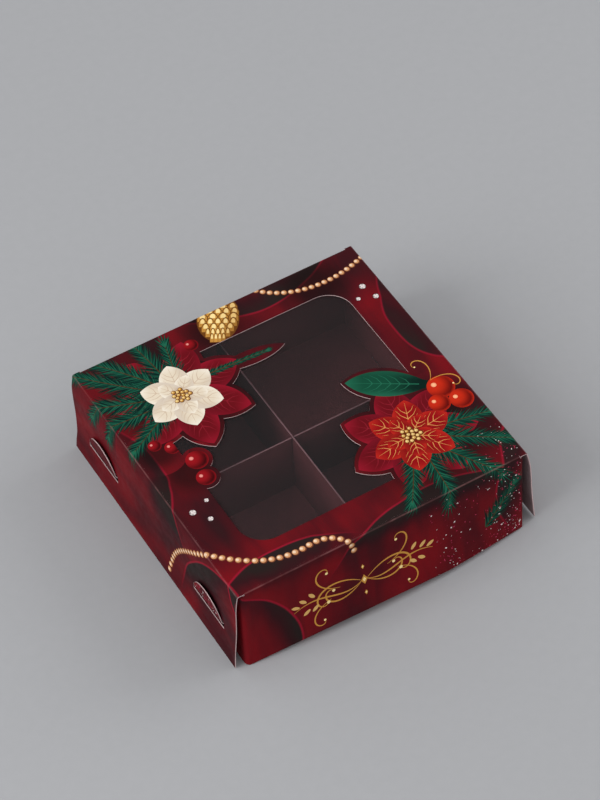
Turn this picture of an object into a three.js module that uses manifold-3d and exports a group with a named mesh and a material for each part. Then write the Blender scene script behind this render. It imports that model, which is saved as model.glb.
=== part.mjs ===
// A candy box of folded card: a printed lid with a die-cut, film-backed window, over a tray
// that two slotted strips part into four cells.
// Millimetres, +Z up. X runs along the front edge to the right, Y runs to the back.
// The origin is the centre of the tray's underside.

import * as THREE from 'three';
import { mergeVertices } from 'three/addons/utils/BufferGeometryUtils.js';
import Module from 'manifold-3d';

const wasm = await Module();
wasm.setup();

// Lid
const LID_W = 105; // outside, along X at the top
const LID_D = 105; // outside, along Y at the top
const BOX_H = 35; // from the floor to the lid's top face
const BOARD = 0.5; // thickness of the card
const FLOOR_GAP = 0.4; // under the lid's walls
const LEFT_FLARE = 1.5; // degrees that the left wall stands out at the bottom
const RIGHT_FLARE = 7.5; // the right wall's fold is sprung further open
const FOLD_RELIEF = 0.1; // opening on the inner side of each mitred fold
const FIT = 0.3; // clearance where pieces are cut to each other

// Ears: the ends of the front and back walls, bent round the corners behind the side walls
const EAR_GAP = 0.6; // between an ear and the side wall at the top
const EAR_LENGTH = 31; // along the side wall, from the corner
const EAR_CUT = 6; // bevel at the free corners
const BEND_R = 1.6; // outside radius of the bent corner

// Lock tongues, cut from the ears and pushed out through slits in the side walls
const TONGUE_LENGTH = 17.5;
const TONGUE_H = 9.5;
const TONGUE_BASE_Z = 9.6; // height of the fold line at the tongue's straight base
const TONGUE_FROM_END = 18.4; // from the end of the side wall to the tongue's middle
const TONGUE_JOG = 50; // degrees from upright where the tongue passes the slit
const TONGUE_LEAN = 4; // degrees that the free part leans away from the wall
const SLIT_PLAY = 0.8; // slit longer than the tongue by this at each end
const SLIT_CORNER_R = 1.2;

// Window: a rounded square, with flower heads, a leaf, a sprig and berries left standing in it
const WINDOW_W = 78;
const WINDOW_D = 78;
const WINDOW_R = 9;
const FILM = 0.2; // thickness of the clear film
const FILM_MARGIN = 8; // overlap of the film under the panel, past the window

const BACK_FLOWER = { x: -27, y: 26, petals: 7, length: 24, width: 15, start: 10 };
const FRONT_FLOWER = { x: 26, y: -27, petals: 7, length: 23, width: 15, start: 34 };
const FLOWER_CORE_R = 15; // board kept whole round the middle of a flower
// a petal's curve handles, as shares of its length and width
const PETAL_CURVE = { rootHalf: 0.2, bellyAt: 0.4, bellyHalf: 0.72, shoulderAt: 0.8, shoulderHalf: 0.55 };
const SPRIG = { x: -12, y: 29, length: 24, width: 6, turn: -4 };
const LEAF = { x: 40, y: -11, length: 26, width: 13, turn: 147 };
const BERRIES = [
  { x: -36, y: 0.5, r: 5 },
  { x: -37, y: -7, r: 4.5 },
];

// Tray, with side walls that roll over and lock into the bottom
const TRAY_PLAY = 0.6; // between the tray and what surrounds it in the lid
const TRAY_EAR_LENGTH = 30;
const TAB_LENGTH = 14; // lock tabs of the rolled-over walls
const TAB_FROM_MIDDLE = 26;

// Divider strips
const DIVIDER_H = 24;
const DIVIDER_PLAY = 2.2; // at each end of a strip, when it is centred
const CROSSING_X = -1.8; // the loose strips lie a little to the left

const CURVE_STEPS = 8; // segments in a quarter turn

// Sizes that follow
const TOP_UNDERSIDE = BOX_H - BOARD;
const MITRE = BOARD + FOLD_RELIEF;
const LID_WALL_H = BOX_H - FLOOR_GAP;
const EAR_FACE = BOARD + EAR_GAP; // from the side wall's outer face to the ear's outer face
const BEND_END = EAR_FACE + BEND_R; // where the flat of the front and back walls begins
const FRONT_WALL_W = LID_W - 2 * BEND_END;
const EAR_TOP = TOP_UNDERSIDE - FIT;
const EAR_INNER = EAR_FACE + BOARD;
const TRAY_W = LID_W - 2 * (EAR_INNER + TRAY_PLAY);
const TRAY_D = LID_D - 2 * (BOARD + TRAY_PLAY);
const TRAY_TOP = TOP_UNDERSIDE - FIT;
const TRAY_LAYER = BOARD + FIT; // one card and its clearance in the rolled-over wall
const LINER_FACE = 2 * TRAY_LAYER + BOARD; // from the tray's outside to the liner's inner face

const radians = THREE.MathUtils.degToRad;

// Materials
const card = (color, roughness) => new THREE.MeshStandardMaterial({ color, roughness, metalness: 0 });
const printedCard = card(0x5a1016, 0.45);
const darkCard = card(0x3a1a1c, 0.8);
const dividerCard = card(0x6d4a4c, 0.8);
const clearFilm = new THREE.MeshStandardMaterial({
  color: 0xdfe6ea,
  roughness: 0.08,
  metalness: 0,
  transparent: true,
  opacity: 0.25,
});

// Solids
function solidOf(geometry) {
  const bare = geometry.clone();
  bare.deleteAttribute('normal');
  bare.deleteAttribute('uv');
  const merged = mergeVertices(bare);
  const vertProperties = new Float32Array(merged.attributes.position.array);
  const triVerts = new Uint32Array(merged.index.array);
  return new wasm.Manifold(new wasm.Mesh({ numProp: 3, vertProperties, triVerts }));
}

function geometryOf(solid) {
  const mesh = solid.getMesh();
  const geometry = new THREE.BufferGeometry();
  geometry.setAttribute('position', new THREE.BufferAttribute(mesh.vertProperties, 3));
  geometry.setIndex(new THREE.BufferAttribute(mesh.triVerts, 1));
  geometry.computeVertexNormals();
  return geometry;
}

function namedMesh(name, geometry, material) {
  const mesh = new THREE.Mesh(geometry, material);
  mesh.name = name;
  return mesh;
}

// A box from its lowest and highest corners
function boxBetween(low, high) {
  const box = new THREE.BoxGeometry(high[0] - low[0], high[1] - low[1], high[2] - low[2]);
  return box.translate((low[0] + high[0]) / 2, (low[1] + high[1]) / 2, (low[2] + high[2]) / 2);
}

function extrude(shape, depth) {
  return new THREE.ExtrudeGeometry(shape, { depth, bevelEnabled: false, curveSegments: CURVE_STEPS });
}

function shapeOf(points) {
  return new THREE.Shape(points.map(([x, y]) => new THREE.Vector2(x, y)));
}

// A section drawn in (y, z), run along x from -length/2 to length/2
function runAlongX(shape, length) {
  const turn = new THREE.Matrix4().set(0, 0, 1, -length / 2, 1, 0, 0, 0, 0, 1, 0, 0, 0, 0, 0, 1);
  return extrude(shape, length).applyMatrix4(turn);
}

// An outline drawn in (x, z), run along y between two values
function runAlongY(shape, from, to) {
  return extrude(shape, to - from).rotateX(Math.PI / 2).translate(0, to, 0);
}

function arcPoints(x, y, r, fromDegrees, toDegrees) {
  const points = [];
  for (let i = 0; i <= CURVE_STEPS; i++) {
    const a = radians(fromDegrees + ((toDegrees - fromDegrees) * i) / CURVE_STEPS);
    points.push([x + r * Math.cos(a), y + r * Math.sin(a)]);
  }
  return points;
}

// Window and top panel
function roundedRectangle(width, depth, r) {
  const x = width / 2 - r;
  const y = depth / 2 - r;
  return shapeOf([
    ...arcPoints(x, y, r, 0, 90),
    ...arcPoints(-x, y, r, 90, 180),
    ...arcPoints(-x, -y, r, 180, 270),
    ...arcPoints(x, -y, r, 270, 360),
  ]);
}

// A pointed petal from the origin along +X, drawn as two curves from its root to its tip
function petalShape(length, width) {
  const { rootHalf, bellyAt, bellyHalf, shoulderAt, shoulderHalf } = PETAL_CURVE;
  const belly = [length * bellyAt, width * bellyHalf];
  const shoulder = [length * shoulderAt, width * shoulderHalf];
  const shape = new THREE.Shape();
  shape.moveTo(0, -width * rootHalf);
  shape.bezierCurveTo(belly[0], -belly[1], shoulder[0], -shoulder[1], length, 0);
  shape.bezierCurveTo(shoulder[0], shoulder[1], belly[0], belly[1], 0, width * rootHalf);
  return shape;
}

function discShape(r) {
  return new THREE.Shape().absarc(0, 0, r, 0, 2 * Math.PI);
}

// A prism through the top panel, turned by some degrees and set at a place on it
function throughPanel(shape, x, y, turn) {
  const prism = extrude(shape, 3 * BOARD).rotateZ(radians(turn));
  return solidOf(prism.translate(x, y, TOP_UNDERSIDE - BOARD));
}

function flowerPrism(flower) {
  let prism = throughPanel(discShape(FLOWER_CORE_R), flower.x, flower.y, 0);
  for (let i = 0; i < flower.petals; i++) {
    const turn = flower.start + (360 * i) / flower.petals;
    prism = prism.add(throughPanel(petalShape(flower.length, flower.width), flower.x, flower.y, turn));
  }
  return prism;
}

function windowPrism() {
  let prism = throughPanel(roundedRectangle(WINDOW_W, WINDOW_D, WINDOW_R), 0, 0, 0);
  for (const flower of [BACK_FLOWER, FRONT_FLOWER]) {
    prism = prism.subtract(flowerPrism(flower));
  }
  for (const blade of [SPRIG, LEAF]) {
    prism = prism.subtract(throughPanel(petalShape(blade.length, blade.width), blade.x, blade.y, blade.turn));
  }
  for (const berry of BERRIES) {
    prism = prism.subtract(throughPanel(discShape(berry.r), berry.x, berry.y, 0));
  }
  return prism;
}

// The panel's edges are mitred for the folds, so its underside is the smaller face
function topPlate() {
  const plate = new THREE.BoxGeometry(LID_W, LID_D, BOARD).translate(0, 0, BOX_H - BOARD / 2);
  const corners = plate.attributes.position;
  for (let i = 0; i < corners.count; i++) {
    if (corners.getZ(i) < BOX_H - BOARD / 2) {
      corners.setX(i, corners.getX(i) - Math.sign(corners.getX(i)) * MITRE);
      corners.setY(i, corners.getY(i) - Math.sign(corners.getY(i)) * MITRE);
    }
  }
  return plate;
}

function lidTop() {
  const panel = geometryOf(solidOf(topPlate()).subtract(windowPrism()));
  const film = boxBetween(
    [-WINDOW_W / 2 - FILM_MARGIN, -WINDOW_D / 2 - FILM_MARGIN, TOP_UNDERSIDE - FILM],
    [WINDOW_W / 2 + FILM_MARGIN, WINDOW_D / 2 + FILM_MARGIN, TOP_UNDERSIDE],
  );
  return [namedMesh('lid_top_panel', panel, printedCard), namedMesh('window_film', film, clearFilm)];
}

// Lid walls, each in the frame of its fold: the fold line is the X axis, the outside faces -Y
function foldGroup(side) {
  const places = {
    front: [0, -LID_D / 2, 0],
    right: [LID_W / 2, 0, 90],
    back: [0, LID_D / 2, 180],
    left: [-LID_W / 2, 0, -90],
  };
  const [x, y, turn] = places[side];
  const group = new THREE.Group();
  group.position.set(x, y, BOX_H);
  group.rotation.z = radians(turn);
  return group;
}

function wallPlate(length) {
  const section = shapeOf([
    [0, 0],
    [0, -LID_WALL_H],
    [BOARD, -LID_WALL_H],
    [BOARD, -MITRE],
  ]);
  return runAlongX(section, length);
}

// How far a tongue steps out to clear a side wall that stands out by some degrees, and how far
// it climbs on the way
function tongueStep(flare) {
  const drop = BOX_H - TONGUE_BASE_Z;
  const out = EAR_GAP + BOARD + FIT + drop * Math.tan(radians(flare));
  const rise = out / Math.tan(radians(TONGUE_JOG));
  return { out, rise };
}

// Where the two tongues lie along a side wall
const tonguePlaces = [-1, 1].map((end) => end * (LID_D / 2 - TONGUE_FROM_END));

function slitPrism(place, flare) {
  const { rise } = tongueStep(flare);
  const half = TONGUE_LENGTH / 2 + SLIT_PLAY;
  const low = TONGUE_BASE_Z - FIT - BOX_H;
  const high = TONGUE_BASE_Z + rise + 2 * BOARD + FIT - BOX_H;
  const outline = shapeOf([
    [-half, low],
    [half, low],
    ...arcPoints(half - SLIT_CORNER_R, high - SLIT_CORNER_R, SLIT_CORNER_R, 0, 90),
    ...arcPoints(-half + SLIT_CORNER_R, high - SLIT_CORNER_R, SLIT_CORNER_R, 90, 180),
  ]);
  return solidOf(runAlongY(outline, -BOARD, 2 * BOARD).translate(place, 0, 0));
}

function sideWall(side, flare) {
  let solid = solidOf(wallPlate(LID_D));
  for (const place of tonguePlaces) {
    solid = solid.subtract(slitPrism(place, flare));
  }
  const wall = namedMesh(`lid_${side}_wall`, geometryOf(solid), printedCard);
  wall.rotation.x = -radians(flare);
  return wall;
}

function halfMoon(length, height) {
  return new THREE.Shape().absellipse(0, 0, length / 2, height, 0, Math.PI);
}

// An ear in the frame of the side wall that it lies behind; end is -1 or 1 along that wall
function earGeometry(end) {
  const corner = LID_D / 2;
  const middle = corner - BEND_R;
  const plan = [
    ...arcPoints(middle, BEND_END, BEND_R, 0, -90),
    [corner - EAR_LENGTH, EAR_FACE],
    [corner - EAR_LENGTH, EAR_INNER],
    ...arcPoints(middle, BEND_END, BEND_R - BOARD, -90, 0),
  ];
  const strip = extrude(shapeOf(plan.map(([x, y]) => [end * x, y])), LID_WALL_H).translate(0, 0, -LID_WALL_H);
  const free = corner - EAR_LENGTH;
  const top = EAR_TOP - BOX_H;
  const bottom = -LID_WALL_H;
  const side = [
    [corner, bottom],
    [corner, top],
    [free + EAR_CUT, top],
    [free, top - EAR_CUT],
    [free, bottom + EAR_CUT],
    [free + EAR_CUT, bottom],
  ];
  const outline = runAlongY(shapeOf(side.map(([x, z]) => [end * x, z])), 0, BEND_END);
  const hole = runAlongY(halfMoon(TONGUE_LENGTH + 2 * FIT, TONGUE_H + FIT), 0, BEND_END);
  const place = end * (corner - TONGUE_FROM_END);
  hole.translate(place, 0, TONGUE_BASE_Z - FIT - BOX_H);
  return geometryOf(solidOf(strip).intersect(solidOf(outline)).subtract(solidOf(hole)));
}

// A tongue's section: out through the slit, then up beside the wall
function tongueSection(flare) {
  const { out, rise } = tongueStep(flare);
  const jog = radians(TONGUE_JOG);
  const lean = radians(flare + TONGUE_LEAN);
  const side = (angle) => [-BOARD * Math.cos(angle), BOARD * Math.sin(angle)];
  const half = (jog - lean) / 2;
  const bend = side((jog + lean) / 2).map((v) => v / Math.cos(half));
  const tip = [out + TONGUE_H * Math.sin(lean), rise + TONGUE_H * Math.cos(lean)];
  const outer = [[0, 0], [out, rise], tip];
  const steps = [side(jog), bend, side(lean)];
  const inner = outer.map(([o, z], i) => [o + steps[i][0], z + steps[i][1]]).reverse();
  return shapeOf([...outer, ...inner].map(([o, z]) => [EAR_FACE - o, z]));
}

function tongueGeometry(end, flare) {
  const place = end * (LID_D / 2 - TONGUE_FROM_END);
  const bent = runAlongX(tongueSection(flare), TONGUE_LENGTH);
  const reach = tongueStep(flare).out + TONGUE_H;
  const outline = runAlongY(halfMoon(TONGUE_LENGTH, TONGUE_H), -reach, EAR_INNER);
  const tongue = geometryOf(solidOf(bent).intersect(solidOf(outline)));
  return tongue.translate(place, 0, TONGUE_BASE_Z - BOX_H);
}

function lidSide(side, flare, ends) {
  const group = foldGroup(side);
  group.add(sideWall(side, flare));
  for (const [end, neighbour] of ends) {
    group.add(namedMesh(`lid_${neighbour}_${side}_ear`, earGeometry(end), printedCard));
    group.add(namedMesh(`lid_${neighbour}_${side}_tongue`, tongueGeometry(end, flare), printedCard));
  }
  return group;
}

function lidEnd(side) {
  const group = foldGroup(side);
  group.add(namedMesh(`lid_${side}_wall`, wallPlate(FRONT_WALL_W), printedCard));
  return group;
}

// Tray
function trayBottom() {
  let bottom = solidOf(boxBetween([-TRAY_W / 2, -TRAY_D / 2, 0], [TRAY_W / 2, TRAY_D / 2, BOARD]));
  for (const side of [-1, 1]) {
    for (const end of [-1, 1]) {
      bottom = bottom.subtract(solidOf(tabBox(side, end, FIT)));
    }
  }
  return namedMesh('tray_bottom', geometryOf(bottom), darkCard);
}

// A lock tab that runs into the foot of a liner, or the slot for it when it is grown by a clearance
function tabBox(side, end, clearance) {
  const inner = side * (TRAY_W / 2 - LINER_FACE);
  const outer = inner + side * BOARD;
  const middle = end * TAB_FROM_MIDDLE;
  const reach = TAB_LENGTH / 2 + clearance;
  return boxBetween(
    [Math.min(inner, outer) - clearance, middle - reach, -clearance],
    [Math.max(inner, outer) + clearance, middle + reach, 2 * BOARD + FIT + clearance],
  );
}

function trayEnd(name, sign) {
  const outer = (sign * TRAY_D) / 2;
  const inner = outer - sign * BOARD;
  const wall = boxBetween(
    [-TRAY_W / 2, Math.min(inner, outer), BOARD],
    [TRAY_W / 2, Math.max(inner, outer), TRAY_TOP],
  );
  return namedMesh(`tray_${name}_wall`, wall, darkCard);
}

function boxInSideWall(side, fromOutside, thickness, y0, y1, z0, z1) {
  const a = side * (TRAY_W / 2 - fromOutside);
  const b = a - side * thickness;
  return boxBetween([Math.min(a, b), y0, z0], [Math.max(a, b), y1, z1]);
}

function traySide(name, side) {
  const half = TRAY_D / 2 - BOARD;
  const under = TRAY_TOP - BOARD;
  const wall = boxInSideWall(side, 0, BOARD, -half, half, BOARD, under);
  const rim = boxInSideWall(side, 0, LINER_FACE, -half, half, under, TRAY_TOP);
  const lining = boxInSideWall(side, 2 * TRAY_LAYER, BOARD, -half, half, BOARD + FIT, TRAY_TOP);
  let liner = solidOf(rim).add(solidOf(lining));
  for (const end of [-1, 1]) {
    liner = liner.add(solidOf(tabBox(side, end, 0)));
  }
  const pieces = [
    namedMesh(`tray_${name}_wall`, wall, darkCard),
    namedMesh(`tray_${name}_liner`, geometryOf(liner), darkCard),
  ];
  for (const [end, neighbour] of [[-1, 'front'], [1, 'back']]) {
    const near = end * half;
    const far = near - end * TRAY_EAR_LENGTH;
    const low = Math.min(near, far);
    const ear = boxInSideWall(side, TRAY_LAYER, BOARD, low, low + TRAY_EAR_LENGTH, BOARD + FIT, under - FIT);
    pieces.push(namedMesh(`tray_${neighbour}_${name}_ear`, ear, darkCard));
  }
  return pieces;
}

// Divider: two strips with half-height slots, one open at the top and one at the bottom
function dividerStrips() {
  const floor = BOARD;
  const top = floor + DIVIDER_H;
  const half = floor + DIVIDER_H / 2;
  const slot = BOARD / 2 + FIT;
  const spanX = TRAY_W / 2 - LINER_FACE - DIVIDER_PLAY;
  const spanY = TRAY_D / 2 - BOARD - DIVIDER_PLAY;
  const card0 = -BOARD / 2;
  const card1 = BOARD / 2;
  const across = solidOf(boxBetween([-spanX + CROSSING_X, card0, floor], [spanX + CROSSING_X, card1, top]));
  const acrossSlot = boxBetween(
    [CROSSING_X - slot, -BOARD, half - FIT],
    [CROSSING_X + slot, BOARD, top + BOARD],
  );
  const along = solidOf(boxBetween([CROSSING_X + card0, -spanY, floor], [CROSSING_X + card1, spanY, top]));
  const alongSlot = boxBetween(
    [CROSSING_X - BOARD, -slot, floor - BOARD],
    [CROSSING_X + BOARD, slot, half],
  );
  return [
    namedMesh('divider_cross_strip', geometryOf(across.subtract(solidOf(acrossSlot))), dividerCard),
    namedMesh('divider_long_strip', geometryOf(along.subtract(solidOf(alongSlot))), dividerCard),
  ];
}

// The box, put together
const lid = new THREE.Group();
lid.add(...lidTop());
lid.add(lidEnd('front'), lidEnd('back'));
lid.add(lidSide('left', LEFT_FLARE, [[1, 'front'], [-1, 'back']]));
lid.add(lidSide('right', RIGHT_FLARE, [[-1, 'front'], [1, 'back']]));

const tray = new THREE.Group();
tray.add(trayBottom(), trayEnd('front', -1), trayEnd('back', 1));
tray.add(...traySide('left', -1), ...traySide('right', 1));

const candyBox = new THREE.Group();
candyBox.add(tray, lid, ...dividerStrips());

export default candyBox;
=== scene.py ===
import random
from math import atan2, copysign, cos, dist, exp, hypot, log, pi, radians, sin, sqrt, tan

import bpy
import numpy as np
from mathutils import Matrix, Vector
from mathutils.geometry import delaunay_2d_cdt


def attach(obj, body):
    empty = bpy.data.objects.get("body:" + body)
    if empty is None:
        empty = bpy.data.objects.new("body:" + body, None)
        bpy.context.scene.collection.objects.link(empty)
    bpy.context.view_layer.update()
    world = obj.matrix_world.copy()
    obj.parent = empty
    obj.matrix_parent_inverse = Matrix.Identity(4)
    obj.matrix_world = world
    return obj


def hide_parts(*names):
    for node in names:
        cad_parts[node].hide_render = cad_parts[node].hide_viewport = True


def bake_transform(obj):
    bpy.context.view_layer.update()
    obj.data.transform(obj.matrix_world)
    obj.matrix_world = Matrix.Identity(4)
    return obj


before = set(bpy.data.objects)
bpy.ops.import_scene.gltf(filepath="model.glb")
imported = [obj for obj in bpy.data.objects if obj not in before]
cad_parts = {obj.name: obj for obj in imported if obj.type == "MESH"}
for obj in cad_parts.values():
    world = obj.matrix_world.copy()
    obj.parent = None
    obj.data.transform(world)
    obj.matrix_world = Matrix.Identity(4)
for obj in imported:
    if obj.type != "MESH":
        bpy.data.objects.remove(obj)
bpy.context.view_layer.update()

# Sizes in millimetres, the same as in the part's source
MM = 0.001
HALF = 52.5  # half of the lid's outside width and depth
BOX_H = 35
BOARD = 0.5
WALL_H = 34.6  # lid walls, from the top face down
FLARE = {"left": 1.5, "right": 7.5, "front": 0, "back": 0}
FLAT_HALF = 49.8  # half of the flat part of the front and back walls
BEND_R = 1.6
EAR_LENGTH = 31
EAR_CUT = 6
EAR_X = 51.4  # an ear's outer face
TONGUE_LENGTH = 17.5
TONGUE_H = 9.5
TONGUE_BASE_Z = 9.6
TONGUE_Y = 34.1
TONGUE_JOG = 50
TONGUE_LEAN = 4
FIT = 0.3
EAR_GAP = 0.6
SLIT_PLAY = 0.8
SLIT_CORNER_R = 1.2
WINDOW_HALF = 39
WINDOW_R = 9
BACK_FLOWER = {"x": -27, "y": 26, "petals": 7, "length": 24, "width": 15, "start": 10}
FRONT_FLOWER = {"x": 26, "y": -27, "petals": 7, "length": 23, "width": 15, "start": 34}
FLOWER_CORE_R = 15
SPRIG = {"x": -12, "y": 29, "length": 24, "width": 6, "turn": -4}
LEAF = {"x": 40, "y": -11, "length": 26, "width": 13, "turn": 147}
BERRIES = [(-36, 0.5, 5), (-37, -7, 4.5)]

# Sizes of the looks
CREASE_R = 0.8  # outside radius of the creased folds
CREASE_STEPS = 4
BEND_STEPS = 6
TONGUE_STEPS = 10
GRID_STEP = 6  # spacing of the points that let a board bow
GRID_SHIFT = (0.37, 0.53)  # keeps those points off the lines of the sheet
SHEET_REACH = 90
WALL_STEPS = 10  # rows of points that let a side wall bow
WALL_COLUMNS = 20  # stretches in such a row
TOP_BOW = 0.2
FRONT_BOW = 5.9  # how far the lower edge of the front wall bulges in its middle
CORNER_BOW = 1.5  # the same at the corners
BOW_DOWN = 1.4  # power with which the bulge grows down the wall
BOW_ALONG = 0.9  # power of its curve from corner to corner
EAR_SETTLE = 9  # length of ear, from the corner, in which that bulge fades out
BELOW_SLITS = 26  # from the lid's top, as are the ranges down a side wall that follow
LEFT_CURL = 1.5  # how far the left wall stands out at its lower front corner
CURL_BELOW = 0.6  # share of that along its whole lower edge
CURL_FROM = 4
DENT = 0.45  # how far a side wall is pressed in above its slits
DENT_RISE = (8, 21)
DENT_FADE = (23.2, 24.6)
LIP_PUSH = 0.3  # how far a slit's lower lip is pushed out
LIP_RISE = (25, 25.7)
LIP_FADE = (BELOW_SLITS, 33)
BELLY = 0.55  # how far a side wall bows out a little below its crease
BELLY_RISE = (0, 0.18 * WALL_H)
BELLY_FADE = (0.18 * WALL_H, 0.62 * WALL_H)
RIGHT_TUCK = 0.6  # how far the right wall's lower edge comes in again
TUCK_RISE = (0.3 * WALL_H, WALL_H)
TONGUE_SOFT = 0.22  # how softly a tongue turns from its root to its upright part
LOOK_BOARD = 0.3  # thickness of the board as it looks; the solids have BOARD
SHEET_SCALE = 0.01  # from millimetres to the sheet's UV map
INSET = 1.3  # from a cut edge to the printed shape
MERGE = 5e-4  # points of the sheet closer than this become one
INNER_MERGE = 1e-5  # the same on a board's inner face
PRINT_SEED = 11

OUT = {"left": (-1, 0), "right": (1, 0), "front": (0, -1), "back": (0, 1)}
BEND_ARC = BEND_R * pi / 2


class Side:
    """One fold of the lid and the wall below it, in the unfolded sheet."""

    def __init__(self, name):
        self.name = name
        self.out = OUT[name]
        self.along = (abs(self.out[1]), abs(self.out[0]))
        self.fold = radians(90 - FLARE[name])
        tangent = CREASE_R * tan(self.fold / 2)
        self.start = HALF - tangent
        self.end = self.start + CREASE_R * self.fold
        self.rim = self.end + WALL_H - tangent
        self.drop = self.end - tangent

    def at(self, down):
        """Sheet distance from the middle, for a distance below the top edge along the wall."""
        return self.drop + down

    def place(self, along, q, depth):
        """A point of the flat, the crease or the wall, in millimetres."""
        angle = min(max(q - self.start, 0) / CREASE_R, self.fold)
        past = max(q - self.end, 0)
        reach = min(q, self.start) + (CREASE_R - depth) * sin(angle) + past * cos(self.fold)
        height = BOX_H - CREASE_R + (CREASE_R - depth) * cos(angle) - past * sin(self.fold)
        return Vector((
            self.out[0] * reach + self.along[0] * along,
            self.out[1] * reach + self.along[1] * along,
            height,
        ))


SIDES = {name: Side(name) for name in OUT}


def tongue_step(flare):
    """How far a tongue goes out through its slit, and how far up on the way."""
    drop = BOX_H - TONGUE_BASE_Z
    out = EAR_GAP + BOARD + FIT + drop * tan(radians(flare))
    return out, out / tan(radians(TONGUE_JOG))


# Outlines in the sheet
def rectangle(x0, y0, x1, y1):
    return [(x0, y0), (x1, y0), (x1, y1), (x0, y1)]


def arc(x, y, r, start, stop, steps):
    turns = [radians(start + (stop - start) * i / steps) for i in range(steps + 1)]
    return [(x + r * cos(a), y + r * sin(a)) for a in turns]


def disc(x, y, r, steps=24):
    return arc(x, y, r, 0, 360 - 360 / steps, steps - 1)


def heading(degrees):
    return cos(radians(degrees)), sin(radians(degrees))


def turned(points, x, y, degrees):
    c, s = heading(degrees)
    return [(x + px * c - py * s, y + px * s + py * c) for px, py in points]


def bezier(a, b, c, d, steps):
    points = []
    for i in range(steps + 1):
        t = i / steps
        k = ((1 - t) ** 3, 3 * t * (1 - t) ** 2, 3 * t * t * (1 - t), t ** 3)
        points.append(tuple(k[0] * a[n] + k[1] * b[n] + k[2] * c[n] + k[3] * d[n] for n in (0, 1)))
    return points


def petal_outline(length, width, steps=14):
    """A pointed petal from the origin along +X, with the curve of the die-cut petals."""
    belly, shoulder = (length * 0.4, width * 0.72), (length * 0.8, width * 0.55)
    lower = bezier((0, -width * 0.2), (belly[0], -belly[1]), (shoulder[0], -shoulder[1]), (length, 0), steps)
    upper = bezier((length, 0), shoulder, belly, (0, width * 0.2), steps)
    return lower + upper[1:]


def rounded_square(half, r, steps=10):
    inner = half - r
    corners = [(inner, inner, 0), (-inner, inner, 90), (-inner, -inner, 180), (inner, -inner, 270)]
    return [p for x, y, start in corners for p in arc(x, y, r, start, start + 90, steps)]


def half_moon(length, height, steps=24):
    turns = [pi * i / steps for i in range(steps + 1)]
    return [(length / 2 * cos(a), height * sin(a)) for a in turns]


# Colours
def srgb(r, g, b):
    def linear(v):
        v /= 255
        return v / 12.92 if v <= 0.04045 else ((v + 0.055) / 1.055) ** 2.4
    return (linear(r), linear(g), linear(b))


def mixed(a, b, t):
    t = min(max(t, 0), 1)
    return tuple(p + (q - p) * t for p, q in zip(a, b))


def smooth(low, high, value):
    t = min(max((value - low) / (high - low), 0), 1)
    return t * t * (3 - 2 * t)


def tones(*colours):
    return tuple(srgb(*colour) for colour in colours)


BRACT = srgb(104, 14, 24)
BRACT_EDGE = srgb(150, 22, 42)
BRACT_SHADE = srgb(44, 8, 14)
BRACT_VEIN = srgb(140, 30, 44)
LEAF_GREEN = srgb(18, 74, 54)
LEAF_EDGE = srgb(34, 104, 78)
LEAF_SHADE = srgb(8, 34, 28)
FIR_DARK = srgb(7, 34, 30)
FIR_MID = srgb(13, 62, 49)
FIR_LIGHT = srgb(30, 98, 74)
GOLD = srgb(198, 142, 64)
GOLD_LIGHT = srgb(250, 224, 156)
GOLD_DARK = srgb(104, 60, 22)
BEAD = srgb(204, 148, 102)
BEAD_LIGHT = srgb(252, 230, 202)
BEAD_RIM = srgb(116, 62, 40)
RED_BERRY = tones((146, 18, 26), (50, 6, 10), (232, 150, 140))  # body, dark side and bright spot
ORANGE_BERRY = tones((196, 42, 20), (92, 10, 9), (252, 186, 140))
SPARKLE = srgb(240, 230, 228)
PINK = srgb(196, 62, 98)
STONE_GREY = srgb(128, 116, 114)
SHADOW = srgb(26, 14, 15)

# Printed shapes: polygons in the sheet with a colour for each place; later ones lie on top
printed = []
samples = []  # points inside printed shapes, where their shading is read


def ink(polygons, colour):
    """Prints polygons in one colour, or with a function that gives the colour of a place."""
    shade = colour if callable(colour) else (lambda u, v: colour)
    printed.append((polygons, shade))


def dot(x, y, r, steps, colour):
    ink([disc(x, y, r, steps)], colour)


def ribbon(points, widths):
    """A chain of triangles along a path, with a width at each point."""
    sides = []
    for i, (x, y) in enumerate(points):
        a, b = points[max(i - 1, 0)], points[min(i + 1, len(points) - 1)]
        dx, dy = b[0] - a[0], b[1] - a[1]
        k = widths[i] / 2 / hypot(dx, dy)
        sides.append(((x - dy * k, y + dx * k), (x + dy * k, y - dx * k)))
    halves = []
    for p, q in zip(sides, sides[1:]):
        halves += [[p[0], p[1], q[1]], [p[0], q[1], q[0]]]
    return halves


def tapered(count, width, ends=0.25):
    return [width * (ends + (1 - ends) * sin(pi * i / (count - 1))) for i in range(count)]


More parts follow.
